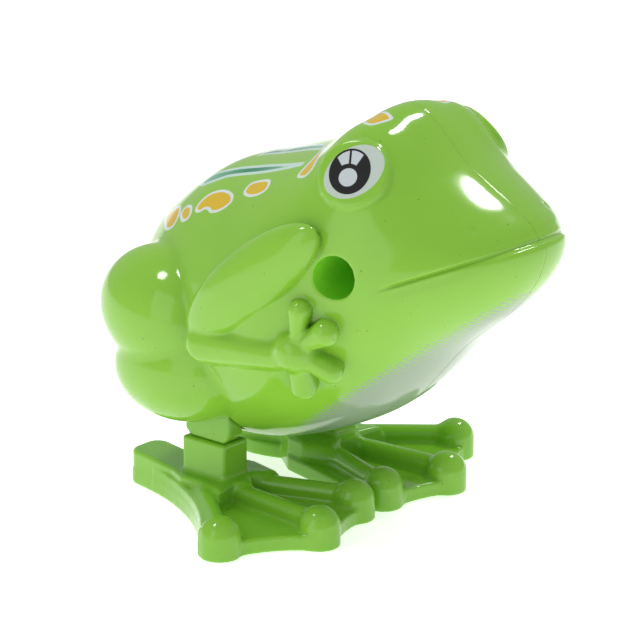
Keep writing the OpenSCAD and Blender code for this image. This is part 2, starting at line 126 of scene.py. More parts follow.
def eye_boss(p):
    q = p - EYE
    height = q @ EYE_AXIS
    a = length(q - height[:, None] * EYE_AXIS) - EYE_RADIUS + EYE_EDGE
    b = height + EYE_EDGE
    return np.minimum(np.maximum(a, b), 0) + np.hypot(np.maximum(a, 0), np.maximum(b, 0)) - EYE_EDGE


def mouth_height(x):
    return 38.8 + 0.435 * (x - 18.3) - 0.0018 * (x - 18.3) ** 2


def relief(p, rims):
    """Skin height above the plain body: mouth line, lips, nostrils, seam edge and rims of holes."""
    x, y, z = p.T
    above = 0.917 * (z - mouth_height(x))
    along, tip = smooth(17.4, 20.5, x), smooth(25, 31, x)
    out = -0.42 * bump(above, 0.24 + 0.1 * tip) * along
    out = out - 0.5 * bump(above - 0.7, 1.1) * tip - 0.12 * bump(above + 0.9, 0.7) * along * (1 - tip)
    out = out - 0.3 * bump(length(p - np.array([26.8, -7.8, 46.6])), 0.5)
    out = out - 0.05 * bump(y, 0.09)
    for at, radius in rims:
        gap = np.hypot(x - at[0], z - at[1]) - radius
        out = out - 0.15 * np.clip(1 - gap / 0.35, 0, 1) ** 2 * (y < -9)
    return out - SKIN_INSET


def skin(p, d, rims):
    for centre, radii, pitch, yaw, width in LUMPS:
        d = blend(d, lump(p, centre, radii, pitch, yaw), width)
    for a, b, ra, rb, width in BARS:
        d = blend(d, bar(p, a, b, ra, rb), width)
    return blend(d, eye_boss(p), 0.5) - relief(p, rims)


def body_reach(d):
    low, high = np.full(len(d), 8.0), np.full(len(d), 45.0)
    for _ in range(24):
        middle = (low + high) / 2
        inside = gauge(START + d * middle[:, None]) < 1
        low, high = np.where(inside, middle, low), np.where(inside, high, middle)
    reach = (low + high) / 2
    p = START + d * reach[:, None]
    slope = np.stack([gauge(p + 0.05 * e) - gauge(p - 0.05 * e) for e in AXES], 1)
    return reach, np.clip((slope * d).sum(1) / np.maximum(length(slope), 1e-9), 0.5, 1)


def body_field(rims):
    def field(p):
        v = p - START
        far = length(v)
        reach, facing = body_reach(v / far[:, None])
        return skin(p, (far - reach) * facing, rims)
    return field


BORDER_PULL, BORDER_REACH = 0.9, 12


def wrapped(n, fine):
    """Directions of an (n+1) x (n+1) grid wrapped over half a sphere, its border in y = 0.

    fine is 1 to draw the outer rows closer to the border, and 0 to leave them even."""
    u, v = np.meshgrid(np.linspace(-1, 1, n + 1), np.linspace(-1, 1, n + 1), indexing="ij")
    r = np.maximum(np.abs(u), np.abs(v))
    wide = np.abs(u) >= np.abs(v)
    turn = np.where(wide, 45 * v / np.where(wide & (u != 0), u, 1) + np.where(u < 0, 180, 0),
                    90 - 45 * u / np.where(wide | (v == 0), 1, v) + np.where(v < 0, 180, 0))
    side = (1 - r * r) * (1 - BORDER_PULL * fine * r ** BORDER_REACH)
    out, turn = np.sqrt(1 - side * side), np.radians(turn)
    return np.stack([out * np.cos(turn), -side, out * np.sin(turn)], -1).reshape(-1, 3)


def grid_solid(n, points, past):
    """Vertices and faces of a half body closed by a fan in the plane y = past."""
    at = np.arange((n + 1) ** 2).reshape(n + 1, n + 1)
    quads = np.stack([at[:-1, :-1], at[1:, :-1], at[1:, 1:], at[:-1, 1:]], -1).reshape(-1, 4)
    border = np.concatenate([at[:-1, 0], at[-1, :-1], at[:0:-1, -1], at[0, :0:-1]])
    points = points.copy()
    points[border, 1] = past
    verts = np.vstack([points, [START[0], past, START[2]]])
    fan = [(int(border[k]), int(border[k - 1]), len(points)) for k in range(len(border))]
    return verts, [tuple(q) for q in quads.tolist()] + fan


def new_object(name, verts, faces):
    mesh = bpy.data.meshes.new(name)
    mesh.from_pydata((np.asarray(verts) * MM).tolist(), [], faces)
    mesh.validate()
    mesh.update()
    obj = bpy.data.objects.new(name, mesh)
    bpy.context.scene.collection.objects.link(obj)
    return obj


def boolean(obj, cutters, operation):
    for cutter in cutters:
        change = obj.modifiers.new("cut", "BOOLEAN")
        change.object, change.operation, change.solver = cutter, operation, "MANIFOLD"
    mesh = bpy.data.meshes.new_from_object(obj.evaluated_get(bpy.context.evaluated_depsgraph_get()))
    obj.modifiers.clear()
    old, obj.data = obj.data, mesh
    bpy.data.meshes.remove(old)
    for cutter in cutters:
        bpy.data.objects.remove(cutter)
    return obj


def rod(at, diameter, y1, y2, sides=72):
    """A closed cylinder along Y at a place in the side view."""
    turn = np.arange(sides) / sides * 2 * np.pi
    radius = diameter / 2
    ring = np.stack([at[0] + radius * np.cos(turn), 0 * turn, at[1] + radius * np.sin(turn)], 1)
    verts = np.vstack([ring + [0, y1, 0], ring + [0, y2, 0]])
    faces = [(k, sides + k, sides + (k + 1) % sides, (k + 1) % sides) for k in range(sides)]
    faces += [tuple(range(sides)), tuple(range(sides, 2 * sides))[::-1]]
    return new_object("rod", verts, faces)


def block(low, high):
    verts = [[x, y, z] for x in (low[0], high[0]) for y in (low[1], high[1]) for z in (low[2], high[2])]
    faces = [(0, 1, 3, 2), (4, 6, 7, 5), (0, 4, 5, 1), (2, 3, 7, 6), (0, 2, 6, 4), (1, 5, 7, 3)]
    return new_object("block", verts, faces)


def gradient(field, p, step=0.02):
    g = np.stack([field(p + step * e) - field(p - step * e) for e in AXES], 1)
    return g / np.maximum(length(g), 1e-9)[:, None]


def coordinates(mesh):
    p = np.empty(len(mesh.vertices) * 3)
    mesh.vertices.foreach_get("co", p)
    return p.reshape(-1, 3) / MM


def shade(obj, field, mirrored=False, tolerance=0.01, bores=()):
    """Smooth shading, with exact directions on the field's own surface and on the walls of round bores."""
    mesh = obj.data
    mesh.polygons.foreach_set("use_smooth", [True] * len(mesh.polygons))
    mesh.set_sharp_from_angle(angle=np.radians(35))
    p = coordinates(mesh)
    if mirrored:
        p = p * [1, -1, 1]
    on = np.abs(field(p)) < tolerance
    exact = gradient(field, p)
    if mirrored:
        exact = exact * [1, -1, 1]
    corner = np.empty(len(mesh.loops), np.int32)
    mesh.loops.foreach_get("vertex_index", corner)
    normals = np.empty(len(mesh.loops) * 3)
    mesh.corner_normals.foreach_get("vector", normals)
    normals = normals.reshape(-1, 3)
    face = np.empty(len(mesh.polygons) * 3)
    mesh.polygons.foreach_get("normal", face)
    counts = np.empty(len(mesh.polygons), np.int32)
    mesh.polygons.foreach_get("loop_total", counts)
    face = np.repeat(face.reshape(-1, 3), counts, axis=0)
    use = on[corner] & ((face * exact[corner]).sum(1) > 0.6)
    normals[use] = exact[corner][use]
    place, wall = p[corner], ~use & (np.abs(face[:, 1]) < 0.05)
    for at, radius in bores:
        inward = np.stack([at[0] - place[:, 0], 0 * place[:, 0], at[1] - place[:, 2]], 1)
        reach = length(inward)
        round_wall = wall & (np.abs(reach - radius) < 0.02) & ((face * inward).sum(1) > 0)
        normals[round_wall] = inward[round_wall] / reach[round_wall][:, None]
    mesh.normals_split_custom_set(normals.tolist())


# ---- The two half shells ----
ARBOR, SECOND = (12.3, 39.7), (1.997, 33.548)
SCREWS = [(-13, 43.5), (7.5, 19.5)]
PEGS = [(26.5, 41), (-26.5, 33)]
PADS = [(4.4, 48.1), (12.6, 28.3)]
HOLE, WELL, SHAFT_HOLE = 5.8, 5.0, 3.0
HOLE_FLOOR, WELL_FLOOR = 11.2, 4.5  # distance from the middle plane
POCKET, POCKET_DEPTH = 4, 10  # the arbor's bearing
PEG, PEG_REACH, SOCKET, SOCKET_DEPTH = 2.4, 3, 2.42, 3.4
PILOT, PILOT_DEPTH, CLEARANCE, CLEARANCE_DEPTH = 2.22, 9.5, 2.6, 5.5  # screw holes
PEG_POST, PAD_POST, SCREW_POST, SHAFT_POST = 4.4, 4, 5.6, 6
WELL_WALL, HOLE_WALL = 1.2, 1.3
MOTOR_FACE = 9.05  # where pads and bosses meet the motor's plates
JOIN = 0.5  # posts start this far past the middle plane
KNOB_SEAT, KNOB_SEAT_AT = 7.6, 22.95
LEG_SLOT = ((-22.8, 10.2, 6), (-9.7, 14, 18.4))
FINE, COARSE = 294, 98  # steps across the skin and across the cavity
OUT = 40  # past the skin
SMOOTH, ROUND = 96, 144  # sides of the holes that show


def half_shell(side, name):
    """side is -1 for the right half and 1 for the left half."""
    right = side < 0
    rims = [(ARBOR, HOLE / 2)]
    if not right:
        rims += [(SECOND, SHAFT_HOLE / 2)] + [(at, WELL / 2) for at in SCREWS]
    field = body_field(rims)

    def found(d):
        reach, facing = body_reach(d)
        low, high = reach - 1.4, reach + 16
        for _ in range(24):
            middle = (low + high) / 2
            inside = skin(START + d * middle[:, None], (middle - reach) * facing, rims) < 0
            low, high = np.where(inside, middle, low), np.where(inside, high, middle)
        return (low + high) / 2, facing

    def placed(points, n, past, called):
        verts, faces = grid_solid(n, points, past)
        if not right:
            verts, faces = verts * [1, -1, 1], [f[::-1] for f in faces]
        return new_object(called, verts, faces)

    def across(at, diameter, a, b, sides=48):
        return rod(at, diameter, min(a * side, b * side), max(a * side, b * side), sides)

    d = wrapped(FINE, 1)
    shell = placed(START + d * found(d)[0][:, None], FINE, 0, name)
    d = wrapped(COARSE, 0)
    reach, facing = found(d)
    cavity = placed(START + d * (reach - WALL / facing)[:, None], COARSE, 1, "cavity")
    posts = [across(at, PEG_POST, -JOIN, OUT) for at in PEGS]
    posts += [across(at, PAD_POST, MOTOR_FACE, OUT) for at in PADS]
    posts += [across(at, SCREW_POST if right else WELL + 2 * WELL_WALL, -JOIN, OUT) for at in SCREWS]
    posts += [across(ARBOR, HOLE + 2 * HOLE_WALL, MOTOR_FACE, OUT)]
    if not right:
        posts += [across(SECOND, SHAFT_POST, MOTOR_FACE, OUT)]
    boolean(cavity, posts, "DIFFERENCE")
    (x1, y1, z1), (x2, y2, z2) = LEG_SLOT
    near, far = sorted((y1 * side, y2 * side))
    cuts = [cavity, block((x1, near, z1), (x2, far, z2))]
    cuts += [across(ARBOR, HOLE, HOLE_FLOOR, OUT, ROUND), across(ARBOR, POCKET, 0, POCKET_DEPTH)]
    if right:
        cuts += [across(at, PILOT, -1, PILOT_DEPTH) for at in SCREWS]
    else:
        cuts += [across(SECOND, SHAFT_HOLE, 0, OUT, SMOOTH)]
        cuts += [across(SECOND, KNOB_SEAT, KNOB_SEAT_AT, OUT, SMOOTH)]
        cuts += [across(at, WELL, WELL_FLOOR, OUT, SMOOTH) for at in SCREWS]
        cuts += [across(at, CLEARANCE, -1, CLEARANCE_DEPTH) for at in SCREWS]
        cuts += [across(at, SOCKET, -1, SOCKET_DEPTH) for at in PEGS]
    boolean(shell, cuts, "DIFFERENCE")
    if right:
        boolean(shell, [rod(at, PEG, -PEG_REACH, PEG_REACH) for at in PEGS], "UNION")
    shade(shell, field, mirrored=not right, bores=rims)
    print_marks(shell.data)
    shell.data.materials.clear()
    shell.data.materials.append(body_material)
    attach(shell, "body")
    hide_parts(name.replace("_skin", ""))


# ---- Printed markings, as signed distances in mm: negative inside ----
def polygon_gap(p, outline):
    """Signed distance from a closed outline in the plane, positive outside."""
    a, b = np.asarray(outline, float), np.roll(outline, -1, axis=0)
    best, inside = np.full(len(p), 1e9), np.zeros(len(p), bool)
    for (ax, ay), (bx, by) in zip(a, b):
        ex, ey = bx - ax, by - ay
        t = np.clip(((p[:, 0] - ax) * ex + (p[:, 1] - ay) * ey) / (ex * ex + ey * ey), 0, 1)
        best = np.minimum(best, (p[:, 0] - ax - t * ex) ** 2 + (p[:, 1] - ay - t * ey) ** 2)
        if ay != by:
            crossed = (p[:, 0] - ax < (p[:, 1] - ay) * ex / ey) & ((ay > p[:, 1]) != (by > p[:, 1]))
            inside ^= crossed
    return np.sqrt(best) * np.where(inside, -1, 1)


def rounded(points, closed=True, steps=6):
    """A smooth curve through the points."""
    q = np.asarray(points, float)
    last = len(q) if closed else len(q) - 1
    at = (lambda k: q[k % len(q)]) if closed else (lambda k: q[min(max(k, 0), len(q) - 1)])
    curve = []
    for k in range(last):
        a, b, c, d = at(k - 1), at(k), at(k + 1), at(k + 2)
        for t in np.arange(steps) / steps:
            curve.append(b + 0.5 * t * (c - a + t * (2 * a - 5 * b + 4 * c - d + t * (3 * (b - c) + d - a))))
    return np.array(curve if closed else curve + [q[-1]])


MARK_REACH = 3  # distances are kept up to here

# Markings are laid out along the body (x) and across its back (w = 0.6 z - 0.8 |y|).
SPOTS = [
    [(-23.4, 13.5), (-25.7, 15.5), (-27.2, 17.1), (-25.3, 17.4), (-23.1, 17.5), (-21.6, 16.3),
     (-21, 14.7), (-21.4, 13.5)],
    [(-19.2, 13.9), (-20.8, 15.1), (-21, 16.2), (-20.1, 16.8), (-18.7, 16.3), (-17.9, 15.2), (-18, 14.2)],
    [(-17.1, 15.2), (-17.5, 16.2), (-16.9, 17.6), (-15.5, 18.5), (-13.2, 18.7), (-10.9, 17.9), (-9.9, 16.7),
     (-10.3, 15.7), (-11.7, 14.9), (-13.3, 14.8), (-14.3, 15.3), (-15.2, 15.4), (-15.9, 15)],
    [(-8.3, 17.6), (-8.8, 18.6), (-8.4, 19.7), (-6.7, 20.1), (-4.7, 20), (-3.8, 19.2), (-3.6, 17.9),
     (-4.9, 17.1), (-6.6, 17)],
    [(1.9, 19.6), (1.1, 20.2), (1.2, 21.9), (1.3, 23.7), (0.9, 26.1), (1.6, 26), (2.4, 25), (3.4, 22.8),
     (4, 20.9), (3.4, 19.6)],
    [(9.1, 31.8), (11, 31), (11.5, 30.2), (10.7, 28.2), (9.7, 27.8), (8.2, 28.4), (7.4, 30), (7.8, 31.3)]]
STRIPES = [  # upper edge, lower edge
    ([(-21.2, 21), (-20, 22.5), (-16.6, 22.9), (-13.2, 23.3), (-8.4, 23.3), (-3.5, 22.9), (-0.1, 22.7)],
     [(-0.1, 22.5), (-2.8, 22.2), (-7.1, 21.9), (-11.7, 21.8), (-15.2, 21.5), (-17.6, 20.8), (-19.9, 20.4)]),
    ([(-14.1, 27.6), (-12.7, 29.3), (-8.6, 28.9), (-4.6, 28.4), (0.4, 27.1)],
     [(0.6, 26), (-2.8, 26.7), (-7.5, 26.9), (-12.6, 27.2), (-14.1, 26.8)])]


def print_marks(mesh):
    p = coordinates(mesh)
    layout = np.stack([p[:, 0], 0.6 * p[:, 2] - 0.8 * np.abs(p[:, 1])], 1)
    spots = np.min([polygon_gap(layout, rounded(spot)) for spot in SPOTS], axis=0)
    bands = [np.vstack([rounded(edge, False) for edge in stripe]) for stripe in STRIPES]
    stripes = np.min([polygon_gap(layout, band) for band in bands], axis=0)
    for name, values in (("spots", spots), ("stripes", stripes)):
        mark = mesh.attributes.new(name, "FLOAT", "POINT")
        mark.data.foreach_set("value", np.minimum(values, MARK_REACH).astype(np.float32))


# ---- Soft-edged solids, meshed from signed distances ----
def extruded(flat, low, high, rounding):
    """A flat shape given as (distance in the plane, coordinate across it), with rounded rims."""
    gap, across = flat
    a, b = gap + rounding, np.maximum(low - across, across - high) + rounding
    return np.minimum(np.maximum(a, b), 0) + np.hypot(np.maximum(a, 0), np.maximum(b, 0)) - rounding


def bubble(p, centre, half, rounding):
    """A box with rounded edges."""
    q = np.abs(p - np.array(centre, float)) - np.array(half, float) + rounding
    return np.minimum(q.max(1), 0) + length(np.maximum(q, 0)) - rounding


GRID_SHIFT = 0.5 * 0.37  # keeps flat faces off the grid's planes


def netted(field, low, high, cell):
    """Meshes the surface where the field is zero, and draws its corners exactly onto it."""
    counts = [int(np.ceil((b - a) / cell)) + 1 for a, b in zip(low, high)]
    axes = [a + cell * (np.arange(n) + GRID_SHIFT) for a, n in zip(low, counts)]
    grid = np.stack(np.meshgrid(*axes, indexing="ij"), -1).reshape(-1, 3)
    value = np.concatenate([field(part) for part in np.array_split(grid, 12)]).reshape(counts)
    inside = value < 0
    total, hits = np.zeros([n - 1 for n in counts] + [3]), np.zeros([n - 1 for n in counts])
    crossings = []
    for axis in range(3):
        lower, upper = [slice(None)] * 3, [slice(None)] * 3
        lower[axis], upper[axis] = slice(0, -1), slice(1, None)
        at = np.argwhere(inside[tuple(lower)] != inside[tuple(upper)])
        a = value[tuple(lower)][tuple(at.T)]
        b = value[tuple(upper)][tuple(at.T)]
        place = at.astype(float)
        place[:, axis] += a / (a - b)
        sides = [k for k in range(3) if k != axis]
        ring = []
        for step in ((0, 0), (1, 0), (1, 1), (0, 1)):
            where = at.copy()
            where[:, sides[0]] -= step[0]
            where[:, sides[1]] -= step[1]
            np.add.at(total, tuple(where.T), place)
            np.add.at(hits, tuple(where.T), 1)
            ring.append(where)
        crossings.append((np.stack(ring, 1), (a < 0) ^ (axis == 1)))
    used = hits > 0
    index = np.full(used.shape, -1)
    index[used] = np.arange(used.sum())
    verts = total[used] / hits[used][:, None] * cell + np.array([a[0] for a in axes])
    quads = []
    for ring, flip in crossings:
        quad = index[tuple(np.moveaxis(ring, -1, 0))]
        quads.append(np.where(flip[:, None], quad[:, ::-1], quad))
    for _ in range(4):
        slope = np.stack([field(verts + 0.02 * e) - field(verts - 0.02 * e) for e in AXES], 1) / 0.04
        move = field(verts)[:, None] * slope / np.maximum((slope ** 2).sum(1), 0.25)[:, None]
        verts = verts - np.clip(move, -0.4 * cell, 0.4 * cell)
    return verts, np.vstack(quads)


def both_sides(verts, quads, names, bodies, nodes, field, material, slot):
    """The left-hand piece and its mirror image."""
    for side, name, body, node in zip((1, -1), names, bodies, nodes):
        faces = quads if side > 0 else quads[:, ::-1]
        piece = new_object(name, verts * [1, side, 1], faces.tolist())
        finish(piece, field, side < 0, body, node, material, slot)


def finish(obj, field, mirrored, body, node, material, slot):
    shade(obj, field, mirrored, tolerance=0.02)
    obj.data.materials.append(material)
    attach(obj, body)
    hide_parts(node)


def arc(a, b, depth, n=12):
    """Points on an arc from a to b that swings out to the right by depth."""
    a, b = np.array(a, float), np.array(b, float)
    chord = np.hypot(*(b - a))
    r = chord * chord / (8 * abs(depth)) + abs(depth) / 2
    half, along = np.arcsin(chord / 2 / r), (b - a) / chord
    right = np.sign(depth) * np.array([along[1], -along[0]])
    t = half * (2 * np.arange(n + 1) / n - 1)[:, None]
    return list((a + b) / 2 + along * r * np.sin(t) + right * (r * np.cos(t) - r * np.cos(half)))


def hull_of(circles, n=72):
    """Outline round several circles, each (x, y, radius)."""
    turn = np.arange(n) / n * 2 * np.pi
    way = np.stack([np.cos(turn), np.sin(turn)], 1)
    centres = np.array([c[:2] for c in circles])
    radii = np.array([c[2] for c in circles])
    furthest = np.argmax(way @ centres.T + radii, axis=1)
    return centres[furthest] + radii[furthest][:, None] * way


TOES = [(-1.5, 25.2), (6.1, 13.7), (3.3, 3.1)]
RIDGES = [(-15, 14.2), (-11.5, 12.2), (-13.5, 9.2)]
TOE, RIDGE, RIDGE_TOP = 2.8, 1.4, 4.6
WEB, SKIRT, HEEL = 2.2, 3.8, 5
HEEL_OUTLINE = hull_of([(-27.9, 8.9, 2), (-27.9, 11, 2), (-20, 8.6, 0.01), (-19, 8.6, 0.01),
                        (-19, 14.6, 0.01), (-20, 14.6, 0.01)])
FOOT = np.array(arc((-28.5, 12.9), (-3.4, 27.2), 2.8) + arc((1, 23.8), (7.2, 16.2), 0.8, 6)
                + arc((7.2, 11), (5.6, 1.8), 0.7, 6) + [(2.6, 0.4), (-15.5, 4.8)]
                + arc((-19.3, 7.8), (-27, 6.95), -0.6, 5))
RAISED = np.array([(-20, 14.6)] + arc((-17, 16), (-8.5, 17.4), 0.4, 4)
                  + [(-9.5, 13.5), (-7.6, 11.8), (-9.5, 9.6), (-8, 6), (-13, 4.9), (-16, 5.4), (-20, 8.5)])
SKIRT_SIDE = np.array([(-24, 12), RIDGES[0], TOES[0], (-3, 30), (-24, 18)])
TONGUE = ((-17.35, 10.85, 5.95), (-11.25, 13.35, 11))


def foot_field(p):
    flat, z = p[:, :2], p[:, 2]
    heel = polygon_gap(flat, HEEL_OUTLINE)
    web = np.minimum(polygon_gap(flat, FOOT), heel)
    d = extruded((web, z), 0, WEB, 0.35)
    d = blend(d, extruded((np.minimum(heel, polygon_gap(flat, RAISED)), z), 0, HEEL, 0.55), 0.5)
    d = blend(d, extruded((np.maximum(web, polygon_gap(flat, SKIRT_SIDE)), z), 0, SKIRT, 0.5), 0.5)
    for a, b in zip(RIDGES, TOES):
        a, b = np.array(a, float), np.array(b, float)
        t = np.clip((flat - a) @ (b - a) / ((b - a) @ (b - a)), 0, 1)
        off = length(flat - a - t[:, None] * (b - a))
        d = blend(d, np.hypot(off, np.maximum(z - RIDGE_TOP + RIDGE, 0)) - RIDGE, 0.7)
        d = blend(d, np.hypot(length(flat - b), np.maximum(z - TOE, 0)) - TOE, 0.6)
    d = blend(d, bubble(p, (-14.45, 11.7, 4.05), (3.85, 2.5, 6.05), 0.45), 0.7)
    low, high = np.array(TONGUE[0]), np.array(TONGUE[1])
    d = np.maximum(d, -bubble(p, (low + high) / 2, (high - low) / 2, 0.02))
    floor_round = 0.25
    a, b = d + floor_round, -z + floor_round
    return np.minimum(np.maximum(a, b), 0) + np.hypot(np.maximum(a, 0), np.maximum(b, 0)) - floor_round


PIVOT, CRANK = np.array([-22.5, 25.0]), np.array([-7.791, 27.704])
KICK = np.radians(14)
KICKED = PIVOT + np.array([[np.cos(KICK), -np.sin(KICK)], [np.sin(KICK), np.cos(KICK)]]) @ (CRANK - PIVOT)
WINDOW = 3.1
LEG_INNER, LEG_OUTER = 10.6, 13.6
LOBES = hull_of([(*PIVOT, 3.6), (*CRANK, WINDOW + 1.7), (*KICKED, WINDOW + 1.7)])
POST = np.array([(-18.2, 26), (-18.2, 11.05), (-17.3, 10.15), (-11.2, 10.15), (-10.3, 11.05), (-10.3, 26)])


def leg_field(p):
    flat, y = p[:, [0, 2]], p[:, 1]
    gap = blend(polygon_gap(flat, LOBES), polygon_gap(flat, POST), 1.2)
    t = np.clip((flat - CRANK) @ (KICKED - CRANK) / ((KICKED - CRANK) @ (KICKED - CRANK)), 0, 1)
    gap = np.maximum(gap, WINDOW - length(flat - CRANK - t[:, None] * (KICKED - CRANK)))
    gap = np.maximum(gap, 1.03 - length(flat - PIVOT))
    d = extruded((gap, y), LEG_INNER, LEG_OUTER, 0.3)
    return np.minimum(d, bubble(p, (-14.3, 12.1, 8.2), (3, 1.2, 2.05), 0.15))


def knob_field(p):
    x, y, z = p[:, 0] - SECOND[0], p[:, 1], p[:, 2] - SECOND[1]
    turn = np.radians(50)
    u, v = x * np.cos(turn) - z * np.sin(turn), x * np.sin(turn) + z * np.cos(turn)
    hub = extruded((np.hypot(x, z) - 3.3, y), 23.2, 25, 0.4)
    wing = np.hypot(u - np.clip(u, -4, 4), y - 26) - 2
    dish = 0.3 * bump(np.abs(u) - 3.8, 1.5) * bump(y - 26, 1.4)
    paddle = extruded((wing, v), -1.3, 1.3, 0.5) + dish
    d = blend(hub, paddle, 0.8)
    return np.maximum(d, -np.maximum(np.hypot(x, z) - 1.01, y - 26.6))


# ---- Finishes ----
def linear(srgb):
    c = np.array(srgb, float) / 255
    return (*np.where(c <= 0.04045, c / 12.92, ((c + 0.055) / 1.055) ** 2.4), 1.0)


class Value:
    """A number that varies over a surface. Arithmetic on it adds Math nodes."""

    def __init__(self, tree, socket):
        self.tree, self.socket = tree, socket

    def op(self, kind, *others, clamp=False):
        node = self.tree.nodes.new("ShaderNodeMath")
        node.operation, node.use_clamp = kind, clamp
        for k, source in enumerate((self, *others)):
            if isinstance(source, Value):
                self.tree.links.new(source.socket, node.inputs[k])
            else:
                node.inputs[k].default_value = source
        return Value(self.tree, node.outputs[0])

    def __add__(self, b):
        return self.op("ADD", b)

    def __sub__(self, b):
        return self.op("SUBTRACT", b)

    def __mul__(self, b):
        return self.op("MULTIPLY", b)

    def larger(self, b):
        return self.op("MAXIMUM", b)

    def smaller(self, b):
        return self.op("MINIMUM", b)

    def size(self):
        return self.op("ABSOLUTE")

    def root(self):
        return self.op("SQRT")

    def within(self, softness=0.04):
        """1 where the value is negative, 0 where it is positive."""
        return self.op("MULTIPLY_ADD", -1 / softness, 0.5, clamp=True)


class Finish:
    """A material and short ways to add nodes to it."""

    def __init__(self, name):
        self.material = bpy.data.materials.new(name)
        self.material.use_nodes = True
        self.tree = self.material.node_tree
        self.shader = self.tree.nodes["Principled BSDF"]
        self.place = self.tree.nodes.new("ShaderNodeTexCoord").outputs["Object"]

    def node(self, kind, **settings):
        made = self.tree.nodes.new(kind)
        for key, value in settings.items():
            setattr(made, key, value)
        return made

    def noise(self, size, detail=2, rough=0.5, stretch=None):
        """Soft blotches of a size in mm."""
        source = self.place
        if stretch:
            mapping = self.node("ShaderNodeMapping")
            mapping.inputs["Scale"].default_value = stretch
            self.tree.links.new(source, mapping.inputs["Vector"])
            source = mapping.outputs["Vector"]
        made = self.node("ShaderNodeTexNoise")
        made.inputs["Scale"].default_value = 1 / (size * MM)
        made.inputs["Detail"].default_value = detail
        made.inputs["Roughness"].default_value = rough
        self.tree.links.new(source, made.inputs["Vector"])
        return Value(self.tree, made.outputs[0])

    def along(self, way, origin=(0, 0, 0), mirrored=False):
        """Distance in mm from a place, along a direction; mirrored measures on |y|."""
        x, y, z = self.axes(mirrored)
        return (x - origin[0]) * way[0] + (y - origin[1]) * way[1] + (z - origin[2]) * way[2]

    def axes(self, mirrored=False):
        split = self.node("ShaderNodeSeparateXYZ")
        self.tree.links.new(self.place, split.inputs[0])
        x, y, z = (Value(self.tree, out) * (1 / MM) for out in split.outputs)
        return x, (y.size() * -1 if mirrored else y), z

    def mark(self, name):
        return Value(self.tree, self.node("ShaderNodeAttribute", attribute_name=name).outputs["Fac"])

    def mixed(self, colour, other, share):
        """colour, with other laid over it by a share that varies over the surface."""
        made = self.node("ShaderNodeMix", data_type="RGBA")
        self.tree.links.new(share.socket, made.inputs["Factor"])
        for value, socket in ((colour, made.inputs["A"]), (other, made.inputs["B"])):
            if isinstance(value, tuple):
                socket.default_value = value
            else:
                self.tree.links.new(value, socket)
        return made.outputs["Result"]

    def set(self, **sockets):
        for name, value in sockets.items():
            socket = self.shader.inputs[name.replace("_", " ")]
            if isinstance(value, Value):
                self.tree.links.new(value.socket, socket)
            elif isinstance(value, bpy.types.NodeSocket):
                self.tree.links.new(value, socket)
            else:
                socket.default_value = value

    def relief(self, *layers):
        """Bumps, each (height value, depth in mm)."""
        total = None
        for value, depth in layers:
            part = value * (depth * MM)
            total = part if total is None else total + part
        bumps = self.node("ShaderNodeBump")
        bumps.inputs["Strength"].default_value = 1
        bumps.inputs["Distance"].default_value = 1
        self.tree.links.new(total.socket, bumps.inputs["Height"])
        self.tree.links.new(bumps.outputs[0], self.shader.inputs["Normal"])


def moulded(name, light, deep, gloss, dust=True):
    """Glossy moulded plastic with slow colour drift, faint flow waves, dust specks and hairline scuffs.

    Returns the finish and its colour, for prints to be laid over."""
    f = Finish(name)
    drift = f.noise(14, 3).op("MULTIPLY_ADD", 1.6, -0.3, clamp=True)
    colour = f.mixed(linear(deep), linear(light), drift)
    specks = (f.noise(0.45, 1) * -1 + 0.215).within(0.02) * -1 + 1
    if dust:
        colour = f.mixed(colour, linear(tuple(0.55 * c for c in deep)), specks * 0.8)
    hairlines = f.noise(0.5, 1, stretch=(0.05, 1, 0.7)).op("MULTIPLY_ADD", 4, -2.45, clamp=True)
    scuffs = hairlines * f.noise(6, 1)
    f.set(Base_Color=colour, Roughness=f.noise(3, 4) * 0.06 + scuffs * 0.12 + gloss, IOR=1.5,
          Subsurface_Weight=0.15, Subsurface_Radius=(0.5, 1.0, 0.25), Subsurface_Scale=0.002)
    f.relief((f.noise(9, 1), 0.05), (f.noise(0.9, 2), 0.0012), (scuffs, -0.002))
    return f, colour


GREEN, GREEN_DEEP = (139, 194, 62), (130, 187, 53)


